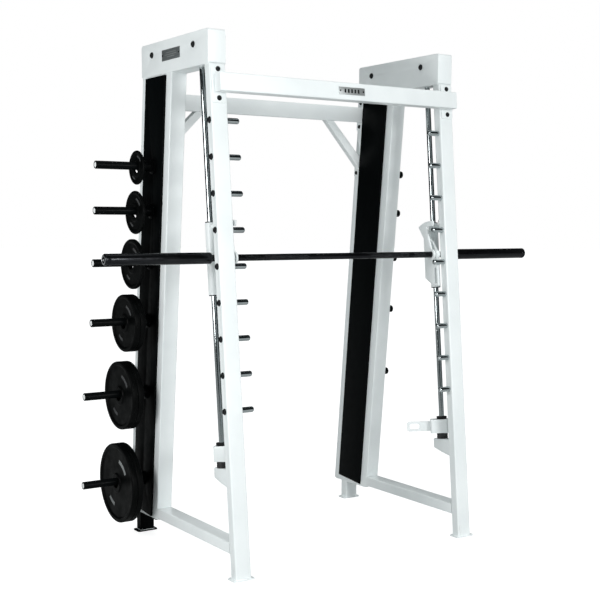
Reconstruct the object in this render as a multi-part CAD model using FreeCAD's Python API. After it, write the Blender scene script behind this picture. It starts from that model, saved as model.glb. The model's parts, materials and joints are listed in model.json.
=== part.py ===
import os
import math
import FreeCAD, Part
from FreeCAD import Vector, Placement, Rotation

# Counterbalanced smith machine.
# Two leaning side frames are tied together by two crossbars. A weight bar runs in carriages on
# two guide rods and hangs on pegs. Cables lead from the carriages over header pulleys to a
# counterweight inside each rear column.
# Millimetres. Front of the machine is -Y, its left side frame is at -X, the floor is Z = 0.
# The origin is the middle of the footprint, on the floor.

# ---- driving dimensions ---------------------------------------------------------------------
LEAN = 5.5                 # lean of the uprights and of the columns from vertical, degrees
FRAME_X = 619.0            # middle plane of each side frame
TUBE_X = 76.0              # width of every main tube across the machine
WALL = 3.0                 # tube wall
UPRIGHT_Y0 = -503.9        # where an upright's centreline meets the floor
UPRIGHT_DEPTH = 45.0       # depth of an upright
COLUMN_Y0 = 373.3          # where a rear column's centreline meets the floor
COLUMN_DEPTH = 290.0       # depth of a rear column
COLUMN_BOTTOM = 100.0      # height of a column's lower end
COVER_WIDTH = 192.0        # cover panels over the columns' side windows
COVER_THICK = 9.0          # depth of a cover, a shallow tray of thin sheet
COVER_TOP = 2150.0         # height of a cover's level top edge
STUD_BOLT_R = 8.2          # holes in the outer covers for the horns' and studs' bolts
HEADER_BOTTOM = 2157.0
HEADER_TOP = 2300.0
HEADER_X = 84.0            # width of a header box
HEADER_FRONT = -316.5
HEADER_REAR = 310.5
RAIL_LOW, RAIL_HIGH = 106.0, 156.0

PEG_COUNT = 9
PEG_PITCH = 152.4
PEG_TOP = 1936.0           # distance of the top peg from the floor, along the upright
PEG_R = 12.5
PEG_REACH = 63.0           # how far a peg stands out of the upright

ROD_OFF = 108.0            # guide rod axis behind the upright's centreline
ROD_R = 12.5
BAR_OFF = 44.0             # bar axis behind the upright's centreline
BAR_R = 14.5
BAR_S = 1364.8             # bar height along the upright, with the hooks level with the 4th peg
SLEEVE_R = 24.5            # weight sleeves at the ends of the bar
SLEEVE_START = 663.0
SLEEVE_END = 1148.0
CABLE_OFF = 60.0           # cable run behind the upright's centreline
CABLE_R = 3.0
RUN_GAP = 0.05             # radial clearance of every running fit

PULLEY_R = 40.0            # from axle to cable centre
PULLEY_Z = 2249.0
REAR_AXLE_Y = 204.0
AXLE_R = 6.0

HORN_R = 18.0
PLATE_BORE = 25.5
HORN_Z = (1755.0, 1554.0, 1319.0, 1046.0, 705.0, 280.0)
HORN_END = (946.0, 946.0, 948.0, 951.0, 978.0, 975.0)
PLATE_RADIUS = (76.5, 98.0, 114.5, 133.0, 160.0, 189.0)
PLATE_THICK = (11.0, 12.5, 20.0, 27.0, 29.0, 28.5)
PLATES_HUNG = (1, 1, 1, 2, 2, 2)
PLATES_OUT = (749.0, 751.0, 761.0, 791.0, 806.0, 809.0)    # outermost face of each set
HORN_COLLAR = 736.5        # end of a horn's collar, where its plates stop
STUD_END = 782.0           # free end of the right-hand column's short studs

STOP_S = 496.0             # underside of a parked safety stop, along the rod
STOP_TURN = 40.0           # parked angle of the stop's tongue, rearward of straight inboard

lean = math.radians(LEAN)
SIN, COS, TAN = math.sin(lean), math.cos(lean), math.tan(lean)
FRONT = Placement(Vector(0, UPRIGHT_Y0, 0), Rotation(Vector(1, 0, 0), -LEAN))
REAR = Placement(Vector(0, COLUMN_Y0, 0), Rotation(Vector(1, 0, 0), LEAN))
INNER = FRAME_X - TUBE_X / 2
OUTER = FRAME_X + TUBE_X / 2

X, Y, Z = Vector(1, 0, 0), Vector(0, 1, 0), Vector(0, 0, 1)

nodes = {}


# ---- helpers --------------------------------------------------------------------------------
def box(x0, x1, y0, y1, z0, z1):
    return Part.makeBox(x1 - x0, y1 - y0, z1 - z0, Vector(x0, y0, z0))


def edges_along(shape, direction):
    """Straight edges of a shape that run along a direction."""
    found = []
    for edge in shape.Edges:
        if edge.Curve.TypeId == "Part::GeomLine":
            run = edge.Vertexes[1].Point - edge.Vertexes[0].Point
            if run.normalize().cross(direction).Length < 1e-6:
                found.append(edge)
    return found


def rounded(shape, direction, radius):
    return shape.makeFillet(radius, edges_along(shape, direction))


def tube(x0, x1, y0, y1, z0, z1, direction, radius=6.0, wall=WALL):
    """Rectangular tube with rounded corners, open at both ends along its direction."""
    outside = rounded(box(x0, x1, y0, y1, z0, z1), direction, radius)
    dx = 0 if direction == X else wall
    dy = 0 if direction == Y else wall
    dz = 0 if direction == Z else wall
    inside = box(x0 + dx, x1 - dx, y0 + dy, y1 - dy, z0 + dz, z1 - dz)
    return outside.cut(rounded(inside, direction, radius - wall))


def cyl(radius, start, direction, length):
    return Part.makeCylinder(radius, length, start, direction)


def ring(outer, inner, start, direction, length):
    return cyl(outer, start, direction, length).cut(cyl(inner, start, direction, length))


def prism(points, direction):
    """Solid from a closed outline pushed along a vector."""
    outline = Part.makePolygon([Vector(*p) for p in points + points[:1]])
    return Part.Face(outline).extrude(direction)


def turned(profile, start, direction):
    """Solid of revolution from (distance along, radius) points, about an axis through start."""
    outline = Part.makePolygon([Vector(r, 0, d) for d, r in profile + profile[:1]])
    solid = Part.Face(outline).revolve(Vector(0, 0, 0), Z, 360)
    solid.Placement = Placement(start, Rotation(Z, direction))
    return solid


def domed_head(radius, height, start, direction):
    """Button head of a bolt, flat side on the start point."""
    profile = [(0, 0), (0, radius), (0.45 * height, radius), (0.8 * height, 0.8 * radius)]
    profile += [(height, 0.5 * radius), (height, 0)]
    return turned(profile, start, direction)


def one(shape):
    """The single solid of a joined shape, without leftover seams."""
    return shape.removeSplitter().Solids[0]


def joined(first, *rest):
    return one(first.multiFuse(list(rest)))


def placed(shape, placement):
    copy = shape.copy()
    copy.Placement = placement.multiply(copy.Placement)
    return copy


def front(shape):
    return placed(shape, FRONT)


def rear(shape):
    return placed(shape, REAR)


def mirrored(shape):
    return shape.mirror(Vector(0, 0, 0), X)


def between(shape, low, high):
    """The part of a shape between two heights."""
    return shape.common(box(-1500, 1500, -1000, 1000, low, high)).Solids[0]


def both(name, shape):
    """Store a right-hand piece and its mirror image."""
    nodes["right_" + name] = shape
    nodes["left_" + name] = mirrored(shape)


def column_middle(z):
    """Y of a column's centreline at a height."""
    return COLUMN_Y0 - z * TAN


# ---- uprights, pegs and their bolts ---------------------------------------------------------
half = UPRIGHT_DEPTH / 2
peg_heights = [PEG_TOP - i * PEG_PITCH for i in range(PEG_COUNT)]

upright = tube(INNER, OUTER, -half, half, -60, 2260, Z)
for s in peg_heights:
    upright = upright.cut(cyl(6.2, Vector(INNER - 1, 0, s), X, TUBE_X + 2))
both("upright", between(front(upright), 6, HEADER_BOTTOM))

pegs = []
peg_bolts = []
for s in peg_heights:
    tip = INNER - PEG_REACH
    profile = [(0, 0), (0, 7), (2, 10.5), (6, PEG_R), (PEG_REACH, PEG_R)]
    profile += [(PEG_REACH, 6), (PEG_REACH + TUBE_X, 6), (PEG_REACH + TUBE_X, 0)]
    pegs.append(front(turned(profile, Vector(tip, 0, s), X)))
    peg_bolts.append(front(domed_head(14, 8, Vector(OUTER, 0, s), X)))
both("pegs", Part.makeCompound(pegs))
nodes["peg_bolts"] = Part.makeCompound(peg_bolts + [mirrored(b) for b in peg_bolts])

# ---- rear columns with their windows --------------------------------------------------------
deep = COLUMN_DEPTH / 2
column = tube(INNER, OUTER, -deep, deep, 0, 2300, Z, radius=5)
window = box(INNER - 1, OUTER + 1, -88, 88, 150, 2110)
column = column.cut(rounded(window, X, 20))
both("column", between(rear(column), COLUMN_BOTTOM, HEADER_BOTTOM))



def cover_slab(thickness, inset):
    half_width = COVER_WIDTH / 2 - inset
    slab = box(0, thickness, -half_width, half_width, 118 + inset, 2300)
    return between(rear(slab), COLUMN_BOTTOM, COVER_TOP - inset)


tray = cover_slab(COVER_THICK, 0).cut(cover_slab(COVER_THICK - 2, 2))
right_cover = tray.translated(Vector(OUTER, 0, 0))
left_cover = mirrored(right_cover)
both("inner_cover", mirrored(tray).translated(Vector(INNER, 0, 0)))

# ---- headers --------------------------------------------------------------------------------
hx0, hx1 = FRAME_X - HEADER_X / 2, FRAME_X + HEADER_X / 2
front_axle_y = UPRIGHT_Y0 + (PULLEY_Z * SIN + CABLE_OFF + PULLEY_R) / COS
axles_y = (front_axle_y, REAR_AXLE_Y)

header = rounded(box(hx0, hx1, HEADER_FRONT, HEADER_REAR, HEADER_BOTTOM, HEADER_TOP), X, 12)
hollow = box(hx0 + WALL, hx1 - WALL, HEADER_FRONT + WALL, HEADER_REAR - WALL,
             HEADER_BOTTOM + WALL, HEADER_TOP - WALL)
header = header.cut(rounded(hollow, X, 9))
cable_slot = box(FRAME_X - 12, FRAME_X + 12, front_axle_y - 75, front_axle_y - 25,
                 HEADER_BOTTOM - 1, HEADER_BOTTOM + WALL + 1)
weight_slot = box(FRAME_X - 30, FRAME_X + 30, REAR_AXLE_Y - 60, HEADER_REAR - 20,
                  HEADER_BOTTOM - 1, HEADER_BOTTOM + WALL + 1)
header = header.cut(cable_slot).cut(weight_slot)
for y in axles_y:
    header = header.cut(cyl(AXLE_R + 0.2, Vector(hx0 - 1, y, PULLEY_Z), X, HEADER_X + 2))
rod_line = front(cyl(ROD_R, Vector(FRAME_X, ROD_OFF, 0), Z, 2230))
both("header", header.cut(rod_line))

axle_bolts = []
for y in axles_y:
    shank = cyl(AXLE_R, Vector(hx0, y, PULLEY_Z), X, HEADER_X)
    inner_head = domed_head(14, 8, Vector(hx0, y, PULLEY_Z), Vector(-1, 0, 0))
    outer_head = domed_head(14, 8, Vector(hx1, y, PULLEY_Z), X)
    axle_bolts.append(joined(shank, inner_head, outer_head))
nodes["pulley_axles"] = Part.makeCompound(axle_bolts + [mirrored(b) for b in axle_bolts])

name_plate = box(-hx1 - 2, -hx1, -67, 103, 2210, 2257)
nodes["name_plate"] = rounded(name_plate, X, 3)

# ---- bottom rails, feet and rear posts ------------------------------------------------------
rail_front = UPRIGHT_Y0 + RAIL_LOW * TAN
rail_rear = COLUMN_Y0 - RAIL_LOW * TAN
rail = tube(INNER, OUTER, rail_front, rail_rear, RAIL_LOW, RAIL_HIGH, Y)
upright_space = front(box(INNER - 5, OUTER + 5, -200, half, -100, 400))
column_space = rear(box(INNER - 5, OUTER + 5, -deep, deep, -50, 400))
both("rail", one(rail.cut(upright_space).cut(column_space)))

FOOT_Y = -504.3
POST_Y = 424.0
feet = []
for y in (FOOT_Y, POST_Y):
    foot = box(FRAME_X - 52, FRAME_X + 52, y - 31, y + 31, 0, 6)
    feet.append(rounded(foot, Z, 10))
nodes["foot_plates"] = Part.makeCompound(feet + [mirrored(f) for f in feet])

post = tube(INNER + 2, OUTER - 2, POST_Y - 25, POST_Y + 25, 6, COLUMN_BOTTOM - 4, Z)
cap = box(INNER, OUTER, column_middle(100) - 135, column_middle(100) + 135,
          COLUMN_BOTTOM - 4, COLUMN_BOTTOM)
both("rear_post", joined(post, rounded(cap, Z, 5)))

# ---- crossbars and corner braces ------------------------------------------------------------
CROSS_S = 2083.0           # height of the front crossbar along the upright
flange_t = 6.0
cross_y = -half - flange_t
bar_tube = rounded(box(-640, 640, cross_y - 50, cross_y, CROSS_S - 38, CROSS_S + 38), X, 6)
hollow = box(-637, 637, cross_y - 47, cross_y - 3, CROSS_S - 35, CROSS_S + 35)
bar_tube = bar_tube.cut(rounded(hollow, X, 3))
flange = rounded(box(587, 653, cross_y, -half, CROSS_S - 79, CROSS_S + 79), Y, 6)
front_cross = joined(bar_tube, flange, mirrored(flange))
nodes["front_crossbar"] = front(front_cross)

bolts = []
for s in (CROSS_S - 60, CROSS_S + 60):
    bolts.append(front(domed_head(11, 7, Vector(FRAME_X + 2, cross_y, s), Vector(0, -1, 0))))

badge = box(-45, 96, cross_y - 52, cross_y - 50, CROSS_S - 16, CROSS_S + 17)
nodes["crossbar_badge"] = front(rounded(badge, Y, 3))

# The rear crossbar and its braces lean with the columns and are bolted behind the inner covers.
CROSS_T0, CROSS_T1 = 99.0, 143.0
REAR_S0, REAR_S1 = 2020.0, 2096.0
end_x = INNER - flange_t
mid_t, mid_s = (CROSS_T0 + CROSS_T1) / 2, (REAR_S0 + REAR_S1) / 2
rear_tube = tube(-end_x, end_x, CROSS_T0, CROSS_T1, REAR_S0, REAR_S1, X)
rear_flange = rounded(box(end_x, INNER, CROSS_T0, CROSS_T1, mid_s - 80, mid_s + 80), X, 5)
nodes["rear_crossbar"] = rear(joined(rear_tube, rear_flange, mirrored(rear_flange)))

# Each brace runs from under the rear crossbar down to a pad on the column.
BRACE_IN, BRACE_WIDE, BRACE_LOW = 350.0, 48.0, 1835.0
brace_t0, brace_t1 = CROSS_T0 + 4, CROSS_T1 - 4
brace_outline = [(BRACE_IN, brace_t0, REAR_S0), (BRACE_IN + BRACE_WIDE, brace_t0, REAR_S0),
                 (end_x, brace_t0, BRACE_LOW + 12), (end_x, brace_t0, BRACE_LOW - BRACE_WIDE)]
brace = prism(brace_outline, Vector(0, brace_t1 - brace_t0, 0))
pad = rounded(box(end_x, INNER, brace_t0, brace_t1, BRACE_LOW - 95, BRACE_LOW + 20), X, 5)
brace = rear(joined(brace, pad))
nodes["corner_braces"] = Part.makeCompound([brace, mirrored(brace)])

for s in (mid_s - 60, mid_s + 60, BRACE_LOW - 74):
    bolts.append(rear(domed_head(10, 6, Vector(end_x, mid_t, s), Vector(-1, 0, 0))))
nodes["frame_bolts"] = Part.makeCompound(bolts + [mirrored(b) for b in bolts])

# ---- guide rods, their lower brackets and bumpers -------------------------------------------
BRACKET_S0, BRACKET_S1 = 402.0, 467.0
rod = cyl(ROD_R, Vector(FRAME_X, ROD_OFF, BRACKET_S0 + 15), Z, 2000)
both("guide_rod", between(front(rod), 0, HEADER_BOTTOM + 15))

bracket = prism([(FRAME_X - 22, half, BRACKET_S1), (FRAME_X - 22, 150, BRACKET_S1),
                 (FRAME_X - 22, 150, BRACKET_S1 - 45), (FRAME_X - 22, 90, BRACKET_S0),
                 (FRAME_X - 22, half, BRACKET_S0 - 18)], Vector(44, 0, 0))
bracket = bracket.cut(cyl(ROD_R, Vector(FRAME_X, ROD_OFF, BRACKET_S0 + 15), Z, 100))
both("rod_bracket", front(bracket))

bumper = ring(27, ROD_R, Vector(FRAME_X, ROD_OFF, BRACKET_S1), Z, STOP_S - BRACKET_S1 - 0.3)
nodes["rod_bumpers"] = Part.makeCompound([front(bumper), mirrored(front(bumper))])

# ---- safety stops ---------------------------------------------------------------------------
# A bush slides on the rod. The block turns on the bush, and its slotted tongue drops over a peg.
STOP_TALL = 67.0
bush_at = Vector(FRAME_X, ROD_OFF, STOP_S)
bush = ring(17, ROD_R + RUN_GAP, bush_at, Z, STOP_TALL + 0.5)
bush_rim = ring(25, ROD_R + RUN_GAP, bush_at + Vector(0, 0, STOP_TALL + 0.5), Z, 13)
both("stop_bush", front(joined(bush, bush_rim)))

block = rounded(box(-57, 30, -33, 33, 0, STOP_TALL), Z, 12)
tongue = rounded(box(-172, -40, -6, 6, 10, 58), Y, 12)
slot = rounded(box(-158, -111, -10, 10, 20.2, 47.8), Y, 13)
block = joined(block, tongue).cut(slot)
block = block.cut(cyl(17 + RUN_GAP, Vector(0, 0, -1), Z, STOP_TALL + 2))
block.Placement = Placement(bush_at, Rotation(Z, -STOP_TURN))
both("stop_block", front(block))

# ---- carriages on the rods ------------------------------------------------------------------
CARRIAGE_HALF = 154.0
CARRIAGE_R = 23.0
sleeve = cyl(CARRIAGE_R, Vector(FRAME_X, ROD_OFF, BAR_S - CARRIAGE_HALF), Z, 2 * CARRIAGE_HALF)
web = box(INNER - 14, FRAME_X - 8, 94, 122, BAR_S - 110, BAR_S + 110)
side = prism([(INNER - 14, 122, BAR_S + 110), (INNER - 14, 60, BAR_S + 60),
              (INNER - 14, 30, BAR_S + 15), (INNER - 14, 30, BAR_S - 150),
              (INNER - 14, 64, BAR_S - 150), (INNER - 14, 122, BAR_S - 110)], Vector(12, 0, 0))
boss = cyl(24, Vector(INNER - 24, BAR_OFF, BAR_S), X, 22)
lug = box(FRAME_X - 8, FRAME_X + 8, CABLE_OFF - 10, ROD_OFF - 14, BAR_S + 128, BAR_S + 144)
carriage = sleeve.multiFuse([web, side, boss, lug])
carriage = carriage.cut(cyl(18, Vector(FRAME_X, ROD_OFF, BAR_S - 200), Z, 400))
carriage = carriage.cut(cyl(BAR_R + RUN_GAP, Vector(INNER - 40, BAR_OFF, BAR_S), X, 80))
side_slot = rounded(box(INNER - 20, INNER + 5, 40, 52, BAR_S - 138, BAR_S - 62), X, 5.9)
carriage = one(carriage.cut(side_slot))
both("carriage", front(carriage))

bushes = []
for s in (BAR_S - CARRIAGE_HALF - 4, BAR_S + CARRIAGE_HALF - 50):
    bushes.append(ring(18, ROD_R + RUN_GAP, Vector(FRAME_X, ROD_OFF, s), Z, 54))
rims = []
for s in (BAR_S - CARRIAGE_HALF - 4, BAR_S + CARRIAGE_HALF):
    rims.append(ring(22, ROD_R + RUN_GAP, Vector(FRAME_X, ROD_OFF, s), Z, 4))
bushes = [front(joined(b, r)) for b, r in zip(bushes, rims)]
nodes["carriage_bushes"] = Part.makeCompound(bushes + [mirrored(b) for b in bushes])

# ---- weight bar, sleeves and hooks ----------------------------------------------------------
bar_at = Vector(0, BAR_OFF, BAR_S)
shaft = cyl(BAR_R, Vector(-SLEEVE_START - 60, BAR_OFF, BAR_S), X, 2 * SLEEVE_START + 120)
nodes["bar_shaft"] = front(shaft)

weight_sleeve = turned([(0, BAR_R), (0, 22), (3, SLEEVE_R), (479, SLEEVE_R), (485, 19), (485, 0),
                        (60, 0), (60, BAR_R)], bar_at + Vector(SLEEVE_START, 0, 0), X)
both("bar_sleeve", front(weight_sleeve))

# The hook's roof is an arc about the bar axis, so it swings over a peg at a constant gap.
HOOK_X0, HOOK_X1 = 541.0, 551.0
HOOK_BACK = 22.0           # the hooks stand this far back from the pegs, degrees
peg_rise = PEG_TOP - 3 * PEG_PITCH - BAR_S
roof_in = math.hypot(BAR_OFF, peg_rise) + PEG_R + 0.4
roof_out = roof_in + 25


def spoke(radius, degrees):
    """Point at a radius from the bar, leaning forward from straight up by an angle."""
    a = math.radians(degrees - HOOK_BACK)
    return (HOOK_X0, BAR_OFF - radius * math.sin(a), BAR_S + radius * math.cos(a))


def arc(radius, a0, a1, steps=10):
    return [spoke(radius, a0 + (a1 - a0) * i / steps) for i in range(steps + 1)]


outline = arc(roof_out, -9, 31) + arc(roof_in, 31, 13) + [spoke(95, 12), spoke(20, 40)]
outline += [spoke(20, -40), spoke(95, -9)]
hook = prism(outline, Vector(HOOK_X1 - HOOK_X0, 0, 0))
hub = cyl(26, Vector(HOOK_X0, BAR_OFF, BAR_S), X, HOOK_X1 - HOOK_X0)
hook = joined(hook, hub).cut(cyl(BAR_R, Vector(HOOK_X0 - 1, BAR_OFF, BAR_S), X, 20))
both("hook", front(hook))

# ---- pulleys, counterweights and cables -----------------------------------------------------
for name, y in (("front", front_axle_y), ("rear", REAR_AXLE_Y)):
    groove = [(-8, AXLE_R + RUN_GAP), (-8, 14), (-6, 16), (-6, 34), (-8, 36), (-8, 44), (-6, 44)]
    groove += [(-3.2, 36.5), (3.2, 36.5), (6, 44), (8, 44), (8, 36), (6, 34), (6, 16), (8, 14)]
    groove += [(8, AXLE_R + RUN_GAP)]
    wheel = turned(groove, Vector(FRAME_X, y, PULLEY_Z), X)
    nodes[name + "_pulleys"] = Part.makeCompound([wheel, mirrored(wheel)])

rear_run = (REAR_AXLE_Y - COLUMN_Y0) * COS + PULLEY_Z * SIN + PULLEY_R
WEIGHT_S0, WEIGHT_S1 = 700.0, 1132.0
weight = box(FRAME_X - 30, FRAME_X + 30, rear_run - 38, rear_run + 38, WEIGHT_S0, WEIGHT_S1)
weight = weight.makeFillet(4, weight.Edges)
both("counterweight", rear(weight))

axle_along = PULLEY_Z * COS + (front_axle_y - UPRIGHT_Y0) * SIN
front_start = BAR_S + 144.3
front_cable = cyl(CABLE_R, Vector(FRAME_X, CABLE_OFF, front_start), Z, axle_along - front_start)
both("cable_front", front(front_cable))

rear_along = PULLEY_Z * COS - (REAR_AXLE_Y - COLUMN_Y0) * SIN
rear_start = WEIGHT_S1 + 0.3
rear_cable = cyl(CABLE_R, Vector(FRAME_X, rear_run, rear_start), Z, rear_along - rear_start)
both("cable_rear", rear(rear_cable))


def wheel_point(axle, degrees):
    """Point on the cable line around a pulley, counted from straight up towards the rear."""
    a = math.radians(degrees)
    return Vector(FRAME_X, axle + PULLEY_R * math.sin(a), PULLEY_Z + PULLEY_R * math.cos(a))


turn_in = 90 - LEAN
path = Part.Wire([
    Part.Arc(wheel_point(front_axle_y, -turn_in), wheel_point(front_axle_y, -turn_in / 2),
             wheel_point(front_axle_y, 0)).toShape(),
    Part.LineSegment(wheel_point(front_axle_y, 0), wheel_point(REAR_AXLE_Y, 0)).toShape(),
    Part.Arc(wheel_point(REAR_AXLE_Y, 0), wheel_point(REAR_AXLE_Y, turn_in / 2),
             wheel_point(REAR_AXLE_Y, turn_in)).toShape()])
section = Part.Wire(Part.makeCircle(CABLE_R, wheel_point(front_axle_y, -turn_in), Vector(0, SIN, COS)))
top_cable = path.makePipeShell([section], True, False)
nodes["cable_tops"] = Part.makeCompound([top_cable, mirrored(top_cable)])

# ---- storage horns, their plates and the right-hand studs -----------------------------------
face_x = OUTER + COVER_THICK
horns = []
studs = []
for z, end in zip(HORN_Z, HORN_END):
    y = column_middle(z)
    reach, collar = end - face_x, HORN_COLLAR - face_x
    profile = [(-20, 0), (-20, 8), (0, 8), (0, 34), (4, 34), (8, 25), (collar, 25)]
    profile += [(collar, HORN_R), (reach - 3, HORN_R), (reach, HORN_R - 3), (reach, 0)]
    horns.append(mirrored(turned(profile, Vector(face_x, y, z), X)))
    left_cover = left_cover.cut(cyl(STUD_BOLT_R, Vector(-OUTER - 10, y, z), X, 20))
    if z > 500:
        right_cover = right_cover.cut(cyl(STUD_BOLT_R, Vector(OUTER - 10, y, z), X, 20))
        reach = STUD_END - face_x
        profile = [(-20, 0), (-20, 8), (0, 8), (0, 26), (5, 26), (5, HORN_R)]
        profile += [(reach - 4, HORN_R), (reach, HORN_R - 5), (reach, 0)]
        studs.append(turned(profile, Vector(face_x, y, z), X))
nodes["left_outer_cover"] = left_cover
nodes["right_outer_cover"] = right_cover
nodes["storage_horns"] = Part.makeCompound(horns)
nodes["short_studs"] = Part.makeCompound(studs)

for i in range(6):
    r, t = PLATE_RADIUS[i], PLATE_THICK[i]
    dish = 0.22 * t
    hub_r = PLATE_BORE + 9 + 0.05 * r
    rim_r = r - 8 - 0.07 * r
    profile = [(0, PLATE_BORE), (0, hub_r), (dish, hub_r + 2), (dish, rim_r), (0, rim_r + 2)]
    profile += [(0, r - 2), (2, r), (t - 2, r), (t, r - 2), (t, rim_r + 2), (t - dish, rim_r)]
    profile += [(t - dish, hub_r + 2), (t, hub_r), (t, PLATE_BORE)]
    hang = PLATE_BORE - HORN_R - 0.3
    hung = []
    for k in range(PLATES_HUNG[i]):
        x = PLATES_OUT[i] - t - k * (t + 0.2)
        centre = Vector(x, column_middle(HORN_Z[i]), HORN_Z[i] - hang)
        hung.append(mirrored(turned(profile, centre, X)))
    nodes["plates_%d" % (i + 1)] = Part.makeCompound(hung)

# ---- write the files ------------------------------------------------------------------------
os.makedirs("parts", exist_ok=True)
for name, shape in nodes.items():
    shape.exportStep("parts/" + name + ".step")
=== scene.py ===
import json
import math
import random

import bmesh
import bpy
from mathutils import Matrix, Vector

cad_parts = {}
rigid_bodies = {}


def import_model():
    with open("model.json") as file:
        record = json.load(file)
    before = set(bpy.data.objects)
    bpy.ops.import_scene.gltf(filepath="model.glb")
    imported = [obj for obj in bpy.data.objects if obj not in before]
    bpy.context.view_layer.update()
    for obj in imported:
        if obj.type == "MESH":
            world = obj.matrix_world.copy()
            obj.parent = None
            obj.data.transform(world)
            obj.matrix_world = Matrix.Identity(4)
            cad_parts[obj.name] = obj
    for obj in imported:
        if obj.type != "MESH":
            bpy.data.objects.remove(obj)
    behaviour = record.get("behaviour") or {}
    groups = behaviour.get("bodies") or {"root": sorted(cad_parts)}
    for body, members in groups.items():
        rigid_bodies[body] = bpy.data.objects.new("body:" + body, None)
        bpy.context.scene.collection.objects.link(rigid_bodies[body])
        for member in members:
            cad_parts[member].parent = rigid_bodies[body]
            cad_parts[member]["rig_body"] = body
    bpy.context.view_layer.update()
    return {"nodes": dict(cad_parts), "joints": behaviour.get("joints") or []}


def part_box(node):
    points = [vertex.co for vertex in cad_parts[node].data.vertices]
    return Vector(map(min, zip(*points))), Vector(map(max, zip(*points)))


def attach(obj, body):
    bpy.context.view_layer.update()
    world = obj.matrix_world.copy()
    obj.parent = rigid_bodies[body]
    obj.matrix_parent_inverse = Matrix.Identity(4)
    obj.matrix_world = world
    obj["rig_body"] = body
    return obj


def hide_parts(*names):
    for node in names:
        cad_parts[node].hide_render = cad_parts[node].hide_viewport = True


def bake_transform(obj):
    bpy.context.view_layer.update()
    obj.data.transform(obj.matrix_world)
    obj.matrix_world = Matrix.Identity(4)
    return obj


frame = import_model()

# Looks of a counterbalanced smith machine. Metres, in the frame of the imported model.
# Front of the machine is -Y, the floor is Z = 0.

MM = 0.001
X, Y, Z = Vector((1, 0, 0)), Vector((0, 1, 0)), Vector((0, 0, 1))

joints = {j["name"]: j for j in frame["joints"]}
UP = Vector(joints["bar_slide"]["axis"]).normalized()           # along the uprights and guide rods
BACK = UP.cross(X)                                              # square to the uprights, rearward
COLUMN_UP = Vector(joints["left_weight_slide"]["axis"]).normalized()
BAR_AT = Vector(joints["bar_turn"]["pos_m"])
ROD_AT = {side: Vector(joints[side + "_stop_swing"]["pos_m"]) for side in ("left", "right")}
SIGN = {"left": -1, "right": 1}
UPRIGHT_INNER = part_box("right_upright")[0].x
COVER_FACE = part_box("right_outer_cover")[1].x
ROD_RADIUS = 12.5 * MM
SHAFT_RADIUS = 14.5 * MM
SLEEVE_RADIUS = 24.5 * MM
HORN_RADIUS = 18 * MM            # storage horns and short studs
CABLE_RADIUS = 3 * MM
PLATE_BORE = 25.5 * MM
DISH = 0.22                      # depth of a plate's web, as a share of its thickness
HEAD_SIDES = 36                  # facets round a socket head
SAME_POINT = 0.002 * MM          # vertices nearer than this are one


# ---- material helpers -----------------------------------------------------------------------
class Nodes:
    """Short ways to add nodes to a node tree."""

    def __init__(self, tree, place):
        self.tree = tree
        self.place = tree.nodes.new("ShaderNodeTexCoord").outputs[place]

    def link(self, source, target):
        self.tree.links.new(source, target)

    def noise(self, scale, detail=4.0, rough=0.55, stretch=(1, 1, 1)):
        mapping = self.tree.nodes.new("ShaderNodeMapping")
        mapping.inputs["Scale"].default_value = stretch
        self.link(self.place, mapping.inputs["Vector"])
        node = self.tree.nodes.new("ShaderNodeTexNoise")
        node.inputs["Scale"].default_value = scale
        node.inputs["Detail"].default_value = detail
        node.inputs["Roughness"].default_value = rough
        self.link(mapping.outputs["Vector"], node.inputs["Vector"])
        return node.outputs["Fac"]

    def spread(self, value, low, high, to_low=0.0, to_high=1.0, shape="LINEAR"):
        """Map a value from low..high to to_low..to_high, clamped."""
        node = self.tree.nodes.new("ShaderNodeMapRange")
        node.interpolation_type = shape
        node.inputs["From Min"].default_value = low
        node.inputs["From Max"].default_value = high
        node.inputs["To Min"].default_value = to_low
        node.inputs["To Max"].default_value = to_high
        self.link(value, node.inputs["Value"])
        return node.outputs["Result"]

    def math(self, operation, a, b):
        node = self.tree.nodes.new("ShaderNodeMath")
        node.operation = operation
        for socket, value in zip(node.inputs, (a, b)):
            if isinstance(value, (int, float)):
                socket.default_value = value
            else:
                self.link(value, socket)
        return node.outputs[0]

    def mix(self, factor, first, second):
        node = self.tree.nodes.new("ShaderNodeMix")
        node.data_type = "RGBA"
        self.link(factor, node.inputs[0])
        for socket, value in ((node.inputs[6], first), (node.inputs[7], second)):
            if isinstance(value, tuple):
                socket.default_value = (*value, 1)
            else:
                self.link(value, socket)
        return node.outputs[2]

    def separate(self, vector):
        node = self.tree.nodes.new("ShaderNodeSeparateXYZ")
        self.link(vector, node.inputs[0])
        return node.outputs


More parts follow.
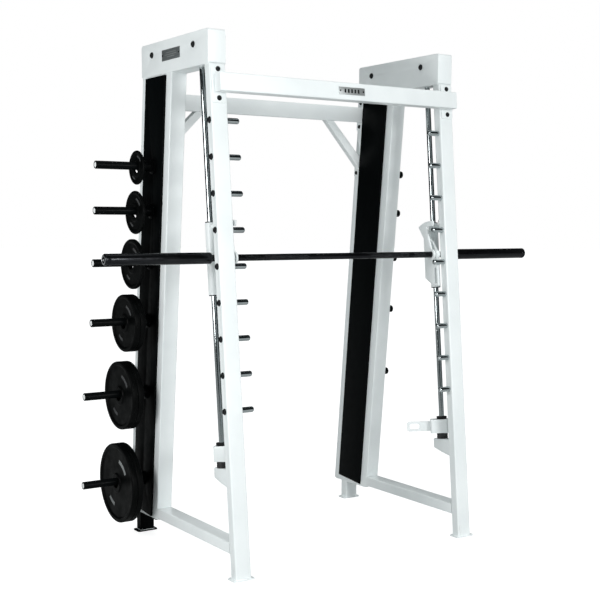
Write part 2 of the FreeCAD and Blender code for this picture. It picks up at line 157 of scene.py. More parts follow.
class Shader(Nodes):
    """A node material with a Principled shader."""

    def __init__(self, name, color, roughness, **fixed):
        self.material = bpy.data.materials.new(name)
        self.material.use_nodes = True
        super().__init__(self.material.node_tree, "Object")
        self.bsdf = self.tree.nodes["Principled BSDF"]
        self.material.diffuse_color = (*color, 1)
        self.bsdf.inputs["Base Color"].default_value = (*color, 1)
        self.bsdf.inputs["Roughness"].default_value = roughness
        for socket, value in fixed.items():
            self.bsdf.inputs[socket.replace("_", " ")].default_value = value
        self.bump_height = None

    def edges(self, radius, low=0.02, high=0.2):
        """1 along convex and concave edges, 0 on flat ground."""
        bevel = self.tree.nodes.new("ShaderNodeBevel")
        bevel.samples = 4
        bevel.inputs["Radius"].default_value = radius
        geometry = self.tree.nodes.new("ShaderNodeNewGeometry")
        dot = self.tree.nodes.new("ShaderNodeVectorMath")
        dot.operation = "DOT_PRODUCT"
        self.link(bevel.outputs["Normal"], dot.inputs[0])
        self.link(geometry.outputs["Normal"], dot.inputs[1])
        return self.spread(self.math("SUBTRACT", 1.0, dot.outputs["Value"]), low, high)

    def color(self, value):
        self.link(value, self.bsdf.inputs["Base Color"])

    def roughness(self, value):
        self.link(value, self.bsdf.inputs["Roughness"])

    def bump(self, height, distance, strength=1.0):
        node = self.tree.nodes.new("ShaderNodeBump")
        node.inputs["Distance"].default_value = distance
        node.inputs["Strength"].default_value = strength
        self.link(height, node.inputs["Height"])
        if self.bump_height is not None:
            self.link(self.bump_height, node.inputs["Normal"])
        self.bump_height = node.outputs["Normal"]
        self.link(self.bump_height, self.bsdf.inputs["Normal"])


# ---- materials ------------------------------------------------------------------------------
def white_powder_coat():
    s = Shader("white_powder_coat", (0.86, 0.885, 0.885), 0.36,
               Coat_Weight=0.25, Coat_Roughness=0.2)
    clouds = s.spread(s.noise(5.0), 0.35, 0.7)
    tone = s.mix(clouds, (0.87, 0.91, 0.912), (0.81, 0.855, 0.86))
    near_floor = s.spread(s.separate(s.place)["Z"], 0.16, 0.0, 0.0, 0.55)
    scuffs = s.spread(s.noise(38.0, 6.0, 0.7, (1, 1, 0.25)), 0.58, 0.72)
    tone = s.mix(s.math("MULTIPLY", near_floor, scuffs), tone, (0.42, 0.41, 0.39))
    patches = s.spread(s.noise(60.0, 5.0, 0.7), 0.58, 0.7, 0.0, 0.55)
    worn = s.math("MULTIPLY", s.edges(0.0022), patches)
    s.color(s.mix(worn, tone, (0.47, 0.49, 0.5)))
    s.roughness(s.spread(s.noise(24.0), 0.3, 0.7, 0.3, 0.44))
    s.bump(s.noise(420.0, 2.0, 0.4), 0.00012, 0.35)
    return s.material


def coat(name, color, low, high, grain, chip_color):
    """Paint or moulded plastic with fine grain, dust and edges rubbed to another tone."""
    s = Shader(name, color, low, Specular_IOR_Level=0.035)
    dust = s.spread(s.noise(9.0, 5.0, 0.6, (1, 1, 0.35)), 0.45, 0.8, 0.0, 0.4)
    tone = s.mix(dust, color, tuple(min(c * 1.8 + 0.001, 0.9) for c in color))
    patches = s.spread(s.noise(85.0, 5.0, 0.7), 0.5, 0.68, 0.0, 0.8)
    rubbed = s.math("MULTIPLY", s.edges(0.002), patches)
    s.color(s.mix(rubbed, tone, chip_color))
    s.roughness(s.spread(s.noise(30.0, 5.0), 0.3, 0.7, low, high))
    s.bump(s.noise(grain, 2.0, 0.5), 0.00015, 0.5)
    return s.material


def cast_iron_enamel():
    s = Shader("cast_iron_enamel", (0.014, 0.015, 0.015), 0.42, Specular_IOR_Level=0.05)
    dust = s.spread(s.noise(14.0, 6.0, 0.65), 0.45, 0.75, 0.0, 0.6)
    tone = s.mix(dust, (0.001, 0.0013, 0.0013), (0.003, 0.0034, 0.0034))
    patches = s.spread(s.noise(70.0, 6.0, 0.75), 0.52, 0.66, 0.0, 0.9)
    chips = s.math("MULTIPLY", s.edges(0.003), patches)
    s.color(s.mix(chips, tone, (0.16, 0.15, 0.14)))
    s.roughness(s.spread(s.noise(22.0, 5.0), 0.3, 0.7, 0.34, 0.56))
    s.bump(s.noise(95.0, 5.0, 0.6), 0.0005, 0.5)
    s.bump(s.noise(520.0, 2.0, 0.5), 0.00015, 0.4)
    return s.material


def chrome():
    s = Shader("chrome", (0.74, 0.76, 0.77), 0.09, Metallic=1.0)
    haze = s.spread(s.noise(16.0, 5.0, 0.6, (1, 1, 0.2)), 0.4, 0.75)
    s.color(s.mix(haze, (0.5, 0.54, 0.55), (0.36, 0.4, 0.41)))
    s.roughness(s.spread(s.noise(45.0, 6.0, 0.7, (1, 1, 0.12)), 0.35, 0.75, 0.06, 0.13))
    s.bump(s.noise(120.0, 2.0, 0.4), 0.00002, 0.15)
    return s.material


def worn_steel(name, color, low, high, stretch):
    """Bare or blackened steel with fine marks that run along it."""
    s = Shader(name, color, low, Metallic=1.0)
    marks = s.spread(s.noise(60.0, 6.0, 0.7, stretch), 0.42, 0.72)
    s.color(s.mix(marks, color, tuple(min(1.0, c * 1.7 + 0.02) for c in color)))
    s.roughness(s.spread(s.noise(35.0, 5.0, 0.6, stretch), 0.3, 0.7, low, high))
    s.bump(s.noise(260.0, 3.0, 0.6, stretch), 0.00008, 0.4)
    return s.material


def bar_finish(name, knurled):
    """Black oxide of the weight bar; the hand zones are knurled in a diamond pattern."""
    s = Shader(name, (0.014, 0.015, 0.017), 0.2, Metallic=0.85)
    marks = s.spread(s.noise(55.0, 6.0, 0.7, (0.1, 1, 1)), 0.45, 0.75, 0.0, 0.7)
    s.color(s.mix(marks, (0.012, 0.013, 0.015), (0.045, 0.047, 0.05)))
    s.roughness(s.spread(s.noise(40.0, 5.0), 0.3, 0.7, 0.16, 0.28))
    if not knurled:
        s.bump(s.noise(300.0, 3.0, 0.6, (0.05, 1, 1)), 0.00006, 0.4)
        return s.material
    uv = s.separate(s.tree.nodes.new("ShaderNodeUVMap").outputs["UV"])
    waves, knurl_pitch = [], 2.1 * MM
    for operation in ("ADD", "SUBTRACT"):
        turn = s.math(operation, uv["X"], uv["Y"])
        waves.append(s.math("SINE", s.math("MULTIPLY", turn, 2 * math.pi / knurl_pitch), 0.0))
    s.bump(s.math("MAXIMUM", *waves), 0.0004, 0.9)
    return s.material


def rubber():
    s = Shader("rubber", (0.018, 0.018, 0.019), 0.7)
    bloom = s.spread(s.noise(30.0, 5.0, 0.65), 0.45, 0.75)
    s.color(s.mix(bloom, (0.014, 0.014, 0.015), (0.045, 0.045, 0.045)))
    s.roughness(s.spread(s.noise(50.0), 0.3, 0.7, 0.6, 0.85))
    s.bump(s.noise(700.0, 2.0), 0.0001, 0.5)
    return s.material


def label_metal(name, color):
    s = Shader(name, color, 0.38, Metallic=0.7)
    brushed = s.noise(130.0, 5.0, 0.7, (1, 0.04, 1) if name == "name_plate_metal" else (0.04, 1, 1))
    s.color(s.mix(s.spread(brushed, 0.35, 0.7), color, tuple(c * 0.7 for c in color)))
    s.roughness(s.spread(brushed, 0.3, 0.7, 0.3, 0.48))
    s.bump(brushed, 0.00006, 0.5)
    return s.material


def floor_finish():
    s = Shader("floor_finish", (0.55, 0.56, 0.56), 0.6, Emission_Color=(1, 1, 1, 1))
    seen = s.tree.nodes.new("ShaderNodeLightPath").outputs["Is Camera Ray"]
    s.link(s.spread(seen, 0.0, 1.0, 0.02, 0.8), s.bsdf.inputs["Emission Strength"])
    s.color(s.mix(s.spread(s.noise(0.8), 0.3, 0.7), (0.56, 0.57, 0.57), (0.53, 0.54, 0.54)))
    return s.material


WHITE = white_powder_coat()
PANEL = coat("black_panel", (0.0014, 0.002, 0.0022), 0.36, 0.52, 480.0, (0.09, 0.095, 0.095))
HORN_PAINT = coat("black_horn_paint", (0.002, 0.0026, 0.0028), 0.26, 0.42, 350.0,
                  (0.25, 0.25, 0.25))
BOLT = coat("black_bolt", (0.016, 0.017, 0.018), 0.3, 0.45, 600.0, (0.12, 0.12, 0.12))
IRON = cast_iron_enamel()
CHROME = chrome()
BAR_PLAIN = bar_finish("bar_black_oxide", False)
BAR_KNURL = bar_finish("bar_knurl", True)
CAP = worn_steel("turned_cap", (0.62, 0.64, 0.65), 0.22, 0.4, (1, 1, 1))
PLUG = coat("white_plug", (0.78, 0.8, 0.8), 0.35, 0.5, 500.0, (0.6, 0.6, 0.6))
CABLE = worn_steel("cable_wire", (0.42, 0.43, 0.44), 0.3, 0.45, (1, 1, 0.3))
WEIGHT = coat("weight_paint", (0.06, 0.062, 0.064), 0.5, 0.65, 240.0, (0.3, 0.28, 0.25))
PLASTIC = coat("moulded_plastic", (0.02, 0.02, 0.021), 0.42, 0.55, 700.0, (0.06, 0.06, 0.06))
RUBBER = rubber()
PLATE_METAL = label_metal("name_plate_metal", (0.3, 0.33, 0.335))
BADGE_METAL = label_metal("badge_metal", (0.55, 0.58, 0.58))
MARK = coat("raised_mark", (0.2, 0.21, 0.21), 0.4, 0.55, 300.0, (0.3, 0.3, 0.3))


# ---- mesh helpers ---------------------------------------------------------------------------
def finished(bm, name, materials, body, smooth_angle=38, replaces=()):
    """A piece from a bmesh: smooth by angle, riding on its body."""
    bmesh.ops.recalc_face_normals(bm, faces=bm.faces)
    mesh = bpy.data.meshes.new(name)
    bm.to_mesh(mesh)
    bm.free()
    for material in materials if isinstance(materials, list) else [materials]:
        mesh.materials.append(material)
    mesh.polygons.foreach_set("use_smooth", [True] * len(mesh.polygons))
    mesh.set_sharp_from_angle(angle=math.radians(smooth_angle))
    obj = bpy.data.objects.new(name, mesh)
    bpy.context.scene.collection.objects.link(obj)
    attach(obj, body)
    if replaces:
        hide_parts(*replaces)
    return obj


def fillet(profile, radius, steps=3):
    """An outline of (along, radius) points with its inner corners rounded."""
    out = [profile[0]]
    for before, at, after in zip(profile, profile[1:], profile[2:]):
        p, a, b = Vector(at), Vector(before), Vector(after)
        reach = min(radius, 0.45 * (a - p).length, 0.45 * (b - p).length)
        start, end = p + (a - p).normalized() * reach, p + (b - p).normalized() * reach
        for i in range(steps + 1):
            t = i / steps
            out.append(tuple(start * (1 - t) ** 2 + p * 2 * t * (1 - t) + end * t * t))
    return out + [profile[-1]]


def basis(direction):
    """Two directions square to one, and to each other."""
    d = direction.normalized()
    side = d.cross(Z if abs(d.z) < 0.9 else X).normalized()
    return side, d.cross(side)


def circle(centre, side, other, radius, count):
    """Points of a circle in the plane of two directions."""
    turns = [2 * math.pi * i / count for i in range(count)]
    return [centre + (side * math.cos(a) + other * math.sin(a)) * radius for a in turns]


def lathe(bm, profile, start, direction, steps=48, zones=()):
    """Adds a turned form. Zones are (from, to, material index) along it."""
    uv = bm.loops.layers.uv.verify()
    side, other = basis(direction)
    d = direction.normalized()
    rings = []
    for along, r in profile:
        centre = start + d * along
        points = [centre] if r < 1e-6 else circle(centre, side, other, r, steps)
        rings.append([bm.verts.new(point) for point in points])
    for (a0, r0), (a1, r1), low, high in zip(profile, profile[1:], rings, rings[1:]):
        for i in range(steps):
            j = (i + 1) % steps
            corners = [low[i % len(low)], low[j % len(low)], high[j % len(high)],
                       high[i % len(high)]]
            corners = list(dict.fromkeys(corners))
            if len(corners) < 3:
                continue
            face = bm.faces.new(corners)
            for zone_low, zone_high, index in zones:
                if zone_low <= (a0 + a1) / 2 <= zone_high:
                    face.material_index = index
            radius = max(r0, r1)
            for loop in face.loops:
                point = loop.vert.co - start
                turn = math.atan2(point.dot(other), point.dot(side))
                if i == steps - 1 and turn < 0.1 and turn > -1e-4:
                    turn += 2 * math.pi
                loop[uv].uv = (point.dot(d), (turn % (2 * math.pi + 1e-4)) * radius)


def socket_head(bm, start, direction, radius, height):
    """A button head with a washer under it and a hexagonal socket in it."""
    washer, lip = 1.5 * MM, 0.25 * height
    ring = [(0, 0), (0, radius * 1.12), (washer, radius * 1.12), (washer, radius)]
    dome = [(washer + lip, radius), (height * 0.82, radius * 0.8), (height, radius * 0.52)]
    profile = fillet(ring + dome + [(height, radius * 0.46)], 0.6 * MM)
    lathe(bm, profile, start, direction, HEAD_SIDES)
    side, other = basis(direction)
    d = direction.normalized()
    lip_ring, wall, floor = [], [], []
    for i in range(HEAD_SIDES):
        a = 2 * math.pi * i / HEAD_SIDES
        hexagon = radius * 0.36 / math.cos((a % (math.pi / 3)) - math.pi / 6)
        spoke = side * math.cos(a) + other * math.sin(a)
        lip_ring.append(bm.verts.new(start + d * height + spoke * radius * 0.46))
        wall.append(bm.verts.new(start + d * height * 0.98 + spoke * min(hexagon, radius * 0.45)))
        floor.append(bm.verts.new(start + d * height * 0.45 + spoke * min(hexagon, radius * 0.45)))
    for i in range(HEAD_SIDES):
        j = (i + 1) % HEAD_SIDES
        bm.faces.new([lip_ring[i], lip_ring[j], wall[j], wall[i]])
        bm.faces.new([wall[i], wall[j], floor[j], floor[i]])
    bm.faces.new(floor)


def sweep(bm, path, radius_at, sides=8, closed=False):
    """A round bead along a path; radius_at gives its radius at a point's index."""
    rings, count = [], len(path)
    for i, point in enumerate(path):
        before = path[i - 1] if i or closed else path[0]
        after = path[(i + 1) % count] if i < count - 1 or closed else path[-1]
        side, other = basis(after - before)
        rings.append([bm.verts.new(p) for p in circle(point, side, other, radius_at(i), sides)])
    pairs = list(zip(rings, rings[1:])) + ([(rings[-1], rings[0])] if closed else [])
    for low, high in pairs:
        for k in range(sides):
            m = (k + 1) % sides
            bm.faces.new([low[k], low[m], high[m], high[k]])
    if not closed:
        bm.faces.new(rings[0])
        bm.faces.new(list(reversed(rings[-1])))


def slab(bm, centre, size, axes, bevel, segments=3):
    """A block with rounded edges. Axes are its three directions."""
    made = bmesh.ops.create_cube(bm, size=1.0)["verts"]
    turn = Matrix((axes[0], axes[1], axes[2])).transposed().to_4x4()
    stretch = Matrix.Diagonal((*size, 1))
    bmesh.ops.transform(bm, matrix=Matrix.Translation(centre) @ turn @ stretch, verts=made)
    edges = list({e for v in made for e in v.link_edges})
    bmesh.ops.bevel(bm, geom=edges, offset=bevel, segments=segments, profile=0.5, affect="EDGES")


def islands(node):
    """(lowest corner, highest corner) of each separate solid in a CAD node, from the top down."""
    bm = bmesh.new()
    bm.from_mesh(frame["nodes"][node].data)
    bmesh.ops.remove_doubles(bm, verts=bm.verts, dist=SAME_POINT)
    left, found = set(bm.verts), []
    while left:
        edge_of_walk = [left.pop()]
        group = list(edge_of_walk)
        while edge_of_walk:
            near = [e.other_vert(v) for v in [edge_of_walk.pop()] for e in v.link_edges]
            for n in near:
                if n in left:
                    left.remove(n)
                    edge_of_walk.append(n)
                    group.append(n)
        low = Vector([min(v.co[k] for v in group) for k in range(3)])
        high = Vector([max(v.co[k] for v in group) for k in range(3)])
        found.append((low, high))
    bm.free()
    return sorted(found, key=lambda b: (-round(b[0].z, 3), b[0].x))


def softened(node, material, width):
    """The CAD node's own shape with its sharp edges rounded, in its place."""
    bm = bmesh.new()
    bm.from_mesh(frame["nodes"][node].data)
    bmesh.ops.remove_doubles(bm, verts=bm.verts, dist=SAME_POINT)
    bmesh.ops.dissolve_limit(bm, angle_limit=math.radians(0.5), verts=bm.verts, edges=bm.edges)
    sharp = [e for e in bm.edges if e.is_manifold and e.calc_face_angle(0) > math.radians(32)]
    bmesh.ops.bevel(bm, geom=sharp, offset=width, segments=2, profile=0.6, affect="EDGES",
                    clamp_overlap=True)
    body = frame["nodes"][node]["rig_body"]
    return finished(bm, node + "_finished", material, body, replaces=[node])


def refinish(node, material):
    """A CAD node that stays, with a better material."""
    obj = frame["nodes"][node]
    obj.data.materials.clear()
    obj.data.materials.append(material)


# ---- welded frame ---------------------------------------------------------------------------
def frame_tubes():
    for side in ("left", "right"):
        for part in ("upright", "column", "rail", "header", "rod_bracket"):
            softened(side + "_" + part, WHITE, 0.8 * MM)
        for part in ("inner_cover", "outer_cover"):
            softened(side + "_" + part, PANEL, 0.9 * MM)
    softened("left_rear_post", PANEL, 0.8 * MM)
    softened("right_rear_post", WHITE, 0.8 * MM)
    for node in ("front_crossbar", "rear_crossbar", "corner_braces"):
        softened(node, WHITE, 0.9 * MM)
    feet = softened("foot_plates", [WHITE, PANEL], 0.9 * MM)
    for face in feet.data.polygons:
        if face.center.x < 0 < face.center.y:
            face.material_index = 1


def weld_loop(low, high):
    """Points round a level rectangle with rounded corners."""
    corner, pitch = 6 * MM, 1.1 * MM
    cx, cy = (low.x + high.x) / 2, (low.y + high.y) / 2
    hx, hy = (high.x - low.x) / 2 - corner, (high.y - low.y) / 2 - corner
    points = []
    corners = ((hx, hy, 0), (-hx, hy, 90), (-hx, -hy, 180), (hx, -hy, 270))

    def on_corner(x, y, degrees):
        a = math.radians(degrees)
        return Vector((cx + x + corner * math.cos(a), cy + y + corner * math.sin(a), low.z))

    for k, (x, y, start) in enumerate(corners):
        points += [on_corner(x, y, start + 15 * i) for i in range(7)]
        target = on_corner(*corners[(k + 1) % 4])
        steps = int((target - points[-1]).length / pitch)
        first = points[-1]
        points += [first.lerp(target, i / steps) for i in range(1, steps)]
    return points


def end_section(node, z):
    """Corners of a node's section where it ends at a height."""
    near = 3 * MM
    points = [v.co for v in frame["nodes"][node].data.vertices if abs(v.co.z - z) < near]
    low = Vector((min(p.x for p in points), min(p.y for p in points), z))
    high = Vector((max(p.x for p in points), max(p.y for p in points), z))
    return low, high


def bead(bm, points, rng):
    """A closed weld bead that swells and shrinks in even ripples."""
    swell = [rng.uniform(0.9, 1.1) for _ in points]

    def radius_at(i):
        return 2.1 * MM * swell[i] * (0.82 + 0.18 * abs(math.sin(i * 0.75)))

    sweep(bm, points, radius_at, 8, True)


def weld_beads():
    rng = random.Random(4)
    bm = bmesh.new()
    for side in ("left", "right"):
        for part in ("upright", "column"):
            node = side + "_" + part
            bead(bm, weld_loop(*end_section(node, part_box(node)[1].z)), rng)
        for part in ("upright", "rear_post"):
            node = side + "_" + part
            bead(bm, weld_loop(*end_section(node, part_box(node)[0].z)), rng)
    finished(bm, "weld_beads", WHITE, "frame", smooth_angle=60)


# ---- fasteners ------------------------------------------------------------------------------
def heads(node, name, facing):
    """Socket heads in place of a node's plain ones. Facing gives each head's direction."""
    bm = bmesh.new()
    for low, high in islands(node):
        direction = facing(low, high)
        size = high - low
        depth = abs(size.dot(direction))
        radius = min(s for k, s in enumerate(size) if abs(direction[k]) < 0.5) / 2
        centre = (low + high) / 2
        socket_head(bm, centre - direction * depth / 2, direction, radius / 1.12, depth)
    finished(bm, name, BOLT, "frame", replaces=[node])


def outward(low, high):
    return X if low.x > 0 else -X


def frame_bolt_facing(low, high):
    """Bolts of the front crossbar face forward, the rest face inboard."""
    if low.y < 0:
        return -BACK
    return -X if low.x > 0 else X


def axle_bolts():
    bm = bmesh.new()
    for low, high in islands("pulley_axles"):
        centre, reach = (low + high) / 2, (high.x - low.x) / 2
        radius = (high.z - low.z) / 2
        head = 8 * MM
        for way in (X, -X):
            socket_head(bm, centre + way * (reach - head), way, radius / 1.12, head)
        lathe(bm, [(0, 6 * MM), (2 * (reach - head), 6 * MM)], centre - X * (reach - head), X, 24)
    finished(bm, "pulley_axle_bolts", BOLT, "frame", replaces=["pulley_axles"])


def catch_pegs():
    for side in ("left", "right"):
        bm = bmesh.new()
        inboard = -SIGN[side]
        for low, high in islands(side + "_pegs"):
            r = (high.z - low.z) / 2
            root = SIGN[side] * UPRIGHT_INNER
            reach = UPRIGHT_INNER - min(abs(low.x), abs(high.x))
            start = Vector((root, (low.y + high.y) / 2, (low.z + high.z) / 2))
            profile = [(-2 * MM, r), (reach - 6 * MM, r), (reach - 2 * MM, 0.84 * r),
                       (reach, 0.56 * r), (reach, 0)]
            lathe(bm, fillet(profile, 2.5 * MM, 5), start, X * inboard, 40)
        finished(bm, side + "_catch_pegs", CHROME, "frame", replaces=[side + "_pegs"])


# ---- rods, stops and carriages --------------------------------------------------------------
def rod_point(side, z):
    """Where the rod's axis crosses a height."""
    axis = ROD_AT[side]
    return axis + UP * ((z - axis.z) / UP.z)


def guide_rods():
    for side in ("left", "right"):
        node = side + "_guide_rod"
        low, high = [rod_point(side, corner.z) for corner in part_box(node)]
        bm = bmesh.new()
        reach = (high - low).length
        profile = [(0, 0), (0, ROD_RADIUS), (reach, ROD_RADIUS), (reach, 0)]
        lathe(bm, profile, low, UP, 64)
        finished(bm, side + "_chrome_rod", CHROME, "frame", replaces=[node])


def bumpers():
    bm = bmesh.new()
    for low, high in islands("rod_bumpers"):
        outer, inner, height = 27 * MM, ROD_RADIUS + 0.1 * MM, 28.6 * MM
        start = ends_of(low, high, UP, outer)[0]
        profile = [(0, inner), (0, outer)]
        for groove in (5.5 * MM, 14.5 * MM, 23.5 * MM):
            profile += [(groove - 2.5 * MM, outer), (groove, outer - 2 * MM),
                        (groove + 2.5 * MM, outer)]
        profile += [(height, outer), (height, inner), (0, inner)]
        lathe(bm, fillet(profile, 2 * MM), start, UP, 48)
    finished(bm, "rubber_bumpers", RUBBER, "frame", replaces=["rod_bumpers"])


def stops():
    for side in ("left", "right"):
        softened(side + "_stop_block", WHITE, 1.2 * MM)
        refinish(side + "_stop_bush", PLASTIC)
        softened(side + "_carriage", WHITE, 1.0 * MM)
    refinish("carriage_bushes", PLASTIC)


# ---- weight bar -----------------------------------------------------------------------------
def weight_bar():
    half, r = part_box("bar_shaft")[1].x, SHAFT_RADIUS
    groove = r - 0.8 * MM
    profile = [(0, 0), (0, r)]
    for mark in (-0.50, -0.43, -0.40, -0.17, 0.17, 0.40, 0.43, 0.50):
        at = half + mark
        profile += [(at - 2 * MM, r), (at - 1 * MM, groove)]
        profile += [(at + 1 * MM, groove), (at + 2 * MM, r)]
    profile += [(2 * half, r), (2 * half, 0)]
    knurled = ((-0.50, -0.43), (-0.40, -0.17), (0.17, 0.40), (0.43, 0.50))
    zones = [(half + low, half + high, 1) for low, high in knurled]
    bm = bmesh.new()
    lathe(bm, profile, BAR_AT - X * half, X, 64, zones)
    finished(bm, "weight_bar_shaft", [BAR_PLAIN, BAR_KNURL], "bar",
             replaces=["bar_shaft"])
    for side in ("left", "right"):
        bm = bmesh.new()
        r, inner = SLEEVE_RADIUS, SHAFT_RADIUS + 0.05 * MM
        # groove near the hub, groove near the end, then the dished end face
        profile = [(0, inner), (0, 22 * MM), (3 * MM, r), (12 * MM, r), (13 * MM, r - 1 * MM),
                   (16 * MM, r - 1 * MM), (17 * MM, r), (458 * MM, r), (459 * MM, r - 1.2 * MM),
                   (463 * MM, r - 1.2 * MM), (464 * MM, r), (479 * MM, r), (484 * MM, 20 * MM),
                   (485 * MM, 15 * MM), (483 * MM, 13 * MM), (483 * MM, 6 * MM),
                   (485 * MM, 4.5 * MM), (485 * MM, 0)]
        node = side + "_bar_sleeve"
        start = BAR_AT + X * SIGN[side] * min(abs(corner.x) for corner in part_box(node))
        # The thin ring of bare turned steel on the end chamfer is edge wear and also a painted
        # highlight: it stands in for the bright rim highlight of the chamfer.
        worn_edge_and_highlight_ring = [(484.2 * MM, 484.9 * MM, 1)]
        lathe(bm, fillet(profile, 1.2 * MM), start, X * SIGN[side], 64, worn_edge_and_highlight_ring)
        finished(bm, side + "_weight_sleeve", [BAR_PLAIN, CAP], "bar",
                 replaces=[node])
        softened(side + "_hook", WHITE, 1.2 * MM)


# ---- cables, pulleys and counterweights -----------------------------------------------------
def stranded(name, low, high, node):
    """A wire rope of six strands round a core, running between its two end points and riding on no
    body.
    """
    bm = bmesh.new()
    direction = (high - low).normalized()
    side, other = basis(direction)
    reach, lay, strand, off_axis = (high - low).length, 34 * MM, 1.02 * MM, 1.96 * MM
    steps = int(reach / lay * 10)                               # ten points to a turn
    for k in range(6):
        path = []
        for i in range(steps + 1):
            a = 2 * math.pi * (k / 6 + i / steps * reach / lay)
            offset = (side * math.cos(a) + other * math.sin(a)) * off_axis
            path.append(low + direction * reach * i / steps + offset)
        sweep(bm, path, lambda i: strand, 6)
    sweep(bm, [low, (low + high) / 2, high], lambda i: 1.0 * MM, 6)
    obj = finished(bm, name, CABLE, "frame", smooth_angle=60)
    world = obj.matrix_world.copy()
    obj.parent = None
    obj.matrix_world = world
    del obj["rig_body"]
    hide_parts(node)
    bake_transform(obj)


def ends_of(low, high, direction, radius):
    """The two ends of a leaning round piece's axis, from the corners of its box."""
    middle = (low + high) / 2
    half = ((high.z - low.z) / 2 - radius * abs(direction.y)) / direction.z
    return middle - direction * half, middle + direction * half


def cables():
    for side in ("left", "right"):
        node = side + "_cable_front"
        low, high = ends_of(*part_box(node), UP, CABLE_RADIUS)
        stranded(side + "_lift_cable", low, high, node)
        bm = bmesh.new()
        inner = CABLE_RADIUS + 0.2 * MM
        profile = [(0, inner), (0, 5.5 * MM), (22 * MM, 5.5 * MM), (25 * MM, 4 * MM),
                   (25 * MM, inner), (0, inner)]
        lathe(bm, fillet(profile, 0.8 * MM), low, UP, 24)
        finished(bm, side + "_cable_ferrule", CAP, "carriages")
        node = side + "_cable_rear"
        low, high = ends_of(*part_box(node), COLUMN_UP, CABLE_RADIUS)
        stranded(side + "_weight_cable", low, high, node)
        softened(side + "_counterweight", WEIGHT, 1.5 * MM)
    refinish("cable_tops", CABLE)
    refinish("front_pulleys", PLASTIC)
    refinish("rear_pulleys", PLASTIC)


# ---- storage horns, studs and plates --------------------------------------------------------
def storage_horns():
    bm, caps = bmesh.new(), bmesh.new()
    face, r = -COVER_FACE, HORN_RADIUS
    flange, collar_radius, bore = 34 * MM, 25 * MM, 12.5 * MM
    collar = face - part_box("plates_4")[1].x - 0.4 * MM
    for low, high in islands("storage_horns"):
        centre = Vector((face, (low.y + high.y) / 2, (low.z + high.z) / 2))
        reach = face - low.x
        plug, seat = bore - 0.2 * MM, reach - 4 * MM
        profile = [(0, 0), (0, flange), (4 * MM, flange), (8 * MM, collar_radius)]
        profile += [(collar, collar_radius), (collar, r), (reach - 2.5 * MM, r)]
        profile += [(reach, r - 2.5 * MM), (reach, bore), (seat, bore), (seat, 0)]
        lathe(bm, fillet(profile, 1.2 * MM), centre, -X)
        cap = [(seat, 0), (seat, plug), (reach - 1 * MM, plug), (reach, 0)]
        lathe(caps, fillet(cap, 1.5 * MM), centre, -X)
    finished(bm, "storage_horn_tubes", HORN_PAINT, "frame",
             replaces=["storage_horns"])
    finished(caps, "horn_end_plugs", PLUG, "frame")


def short_studs():
    bm = bmesh.new()
    r, flange = HORN_RADIUS, 26 * MM
    for low, high in islands("short_studs"):
        centre = Vector((COVER_FACE, (low.y + high.y) / 2, (low.z + high.z) / 2))
        reach = high.x - COVER_FACE
        profile = [(0, 0), (0, flange), (5 * MM, flange), (5 * MM, r), (reach - 4 * MM, r)]
        profile += [(reach, r - 5 * MM), (reach, 0)]
        lathe(bm, fillet(profile, 1.5 * MM), centre, X)
    finished(bm, "stud_posts", HORN_PAINT, "frame", replaces=["short_studs"])


def plate_profile(r, t, hub):
    """Half section of a cast plate: raised rim and hub, recessed web, the same on both faces."""
    bore, rim, dish = PLATE_BORE, r - 8 * MM - 0.07 * r, DISH * t
    back = [(0.8 * MM, bore), (0, bore + 1 * MM), (0, hub), (dish, hub + 4 * MM),
            (dish, rim - 3 * MM), (0, rim + 3 * MM), (0, r - 3 * MM), (3 * MM, r)]
    front = [(t - along, radius) for along, radius in reversed(back)]
    return fillet([(t / 2, bore)] + back + front, 3 * MM, 4) + [(t / 2, bore)]


def arc_mark(bm, centre, radius, degrees, width):
    """A plain raised bar bent round a plate's outboard face, in place of any lettering."""
    inner, outer, rise = radius - width / 2, radius + width / 2, 1.2 * MM
    rows = []
    for i in range(13):
        a = math.radians(degrees[0] + (degrees[1] - degrees[0]) * i / 12)
        spoke = Vector((0, math.cos(a), math.sin(a)))
        rows.append([bm.verts.new(centre + spoke * q - X * h)
                     for q, h in ((inner, 0), (inner, rise), (outer, rise), (outer, 0))])
    for a, b in zip(rows, rows[1:]):
        for k in range(4):
            bm.faces.new([a[k], a[(k + 1) % 4], b[(k + 1) % 4], b[k]])
    bm.faces.new(rows[0])
    bm.faces.new(list(reversed(rows[-1])))


def stored_plates():
    for i in range(1, 7):
        node = f"plates_{i}"
        for low, high in sorted(islands(node), key=lambda b: -b[0].x):
            r, t = (high.z - low.z) / 2, high.x - low.x
            hub = PLATE_BORE + 9 * MM + 0.05 * r
            centre = Vector((high.x, (low.y + high.y) / 2, (low.z + high.z) / 2))
            bm = bmesh.new()
            lathe(bm, plate_profile(r, t, hub), centre, -X, 96)
            finished(bm, f"plate_{i}", IRON, node, replaces=[node])
        web = hub + (r * 0.93 - 8 * MM - hub) * 0.55
        marks = bmesh.new()
        face = Vector((low.x + DISH * t, centre.y, centre.z))
        for degrees in ((105, 150), (285, 315)):
            arc_mark(marks, face, web, degrees, 0.09 * r)
        bmesh.ops.bevel(marks, geom=list(marks.edges), offset=0.3 * MM, segments=1,
                        affect="EDGES")
        finished(marks, f"plate_{i}_marks", MARK if i == 6 else WEIGHT, node)


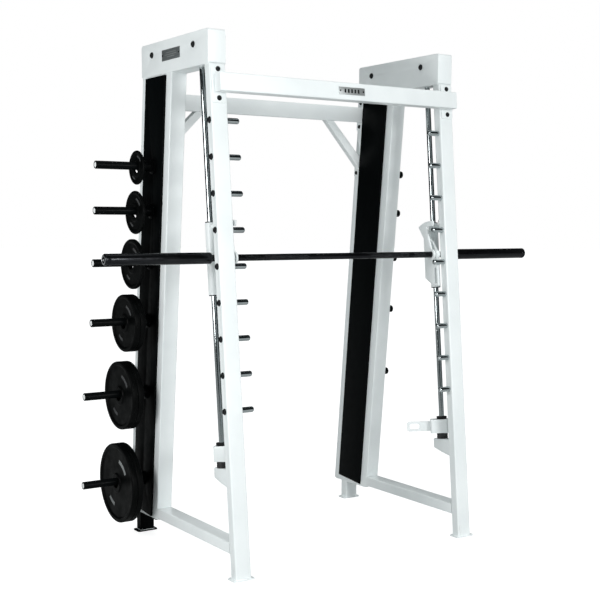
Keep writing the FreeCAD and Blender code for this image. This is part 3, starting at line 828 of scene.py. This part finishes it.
# ---- plates with fixings, in place of lettering ---------------------------------------------
def name_plate():
    low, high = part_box("name_plate")
    centre, size = (low + high) / 2, high - low
    bm = bmesh.new()
    slab(bm, centre, size, (X, Y, Z), 0.6 * MM)
    finished(bm, "header_plate", PLATE_METAL, "frame", replaces=["name_plate"])
    bars = bmesh.new()
    for dz, length in ((9, 96), (0, 110), (-9, 70)):
        middle = centre + Vector((-size.x / 2, 0, dz * MM))
        slab(bars, middle, (0.9 * MM, length * MM, 3 * MM), (X, Y, Z), 0.3 * MM, 2)
    finished(bars, "header_plate_bars", BADGE_METAL, "frame")
    screws = bmesh.new()
    for way in (-1, 1):
        at = Vector((low.x, centre.y + way * (size.y / 2 - 8 * MM), centre.z))
        socket_head(screws, at, -X, 3.6 * MM, 2.4 * MM)
    finished(screws, "header_plate_screws", BOLT, "frame")


def crossbar_badge():
    low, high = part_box("crossbar_badge")
    centre = (low + high) / 2
    bm = bmesh.new()
    long, tall, thick = high.x - low.x, 33 * MM, 2 * MM
    slab(bm, centre, (long, tall, thick), (X, UP, BACK), 0.6 * MM)
    finished(bm, "front_badge", BADGE_METAL, "frame", replaces=["crossbar_badge"])
    face = centre - BACK * thick / 2
    bars = bmesh.new()
    for k in range(5):
        at = face + X * (k - 2) * 18 * MM
        slab(bars, at, (9 * MM, 17 * MM, 1 * MM), (X, UP, BACK), 0.35 * MM, 2)
    finished(bars, "front_badge_blocks", BOLT, "frame")
    rivets = bmesh.new()
    for way in (-1, 1):
        at = face + X * way * (long / 2 - 8 * MM)
        dome = [(0, 4 * MM), (1 * MM, 3.7 * MM), (1.9 * MM, 2.4 * MM), (2.2 * MM, 0)]
        lathe(rivets, dome, at, -BACK, 24)
    finished(rivets, "front_badge_rivets", BOLT, "frame")


# ---- stage ----------------------------------------------------------------------------------
def floor():
    bm = bmesh.new()
    bmesh.ops.create_circle(bm, cap_ends=True, segments=96, radius=60)
    mesh = bpy.data.meshes.new("floor")
    bm.to_mesh(mesh)
    bm.free()
    mesh.materials.append(floor_finish())
    obj = bpy.data.objects.new("floor", mesh)
    bpy.context.scene.collection.objects.link(obj)


def lamp(name, place, target, size, power):
    data = bpy.data.lights.new(name, "AREA")
    data.shape = "RECTANGLE"
    data.size, data.size_y = size
    data.energy = power
    obj = bpy.data.objects.new(name, data)
    obj.location = place
    obj.rotation_mode = "QUATERNION"
    obj.rotation_quaternion = (Vector(target) - Vector(place)).to_track_quat("-Z", "Y")
    bpy.context.scene.collection.objects.link(obj)


def studio():
    """Light from the front and the left, walls darkest in reflections, and a white backdrop."""
    world = bpy.data.worlds.new("studio")
    bpy.context.scene.world = world
    world.use_nodes = True
    w = Nodes(world.node_tree, "Generated")
    toward = w.separate(w.place)
    walls = w.mix(w.spread(toward["X"], -0.9, 0.1), (0.06, 0.082, 0.086), (0.41, 0.434, 0.438))
    overhead = w.spread(toward["Z"], 0.3, 0.95, shape="SMOOTHSTEP")
    around = w.mix(overhead, walls, (0.6, 0.62, 0.62))
    rays = w.tree.nodes.new("ShaderNodeLightPath").outputs
    mirrored = w.mix(rays["Is Glossy Ray"], around, (0.02, 0.024, 0.026))
    seen = w.mix(rays["Is Camera Ray"], mirrored, (1, 1, 1))
    w.link(seen, w.tree.nodes["Background"].inputs["Color"])
    lamp("key", (0.4, -9.0, 3.0), (0, 0, 1.2), (2.2, 2.2), 395)
    lamp("side", (-3.9, -1.1, 1.9), (-0.6, 0, 1.2), (1.2, 1.7), 75)
    sun = bpy.data.lights.new("overhead", "SUN")
    sun.energy = 0.55
    sun.angle = math.radians(50)
    bpy.context.scene.collection.objects.link(bpy.data.objects.new("overhead", sun))
    bpy.context.scene.view_settings.view_transform = "Standard"


def camera():
    data = bpy.data.cameras.new("camera")
    data.sensor_width = 36.0
    data.lens = 67.18
    data.shift_y = 0.10
    data.clip_end = 200
    obj = bpy.data.objects.new("camera", data)
    yaw, pitch, roll = math.radians(33.55), math.radians(-7.0), math.radians(-0.217)
    obj.location = (-2.9595, -4.4773, 1.5044)
    look = Matrix.Rotation(-yaw, 4, "Z") @ Matrix.Rotation(math.radians(90) + pitch, 4, "X")
    obj.matrix_world = Matrix.Translation(obj.location) @ look @ Matrix.Rotation(-roll, 4, "Z")
    bpy.context.scene.collection.objects.link(obj)
    bpy.context.scene.camera = obj


camera()
studio()
floor()
frame_tubes()
weld_beads()
heads("peg_bolts", "peg_bolt_heads", outward)
heads("frame_bolts", "frame_bolt_heads", frame_bolt_facing)
axle_bolts()
catch_pegs()
guide_rods()
bumpers()
stops()
weight_bar()
cables()
storage_horns()
short_studs()
stored_plates()
name_plate()
crossbar_badge()
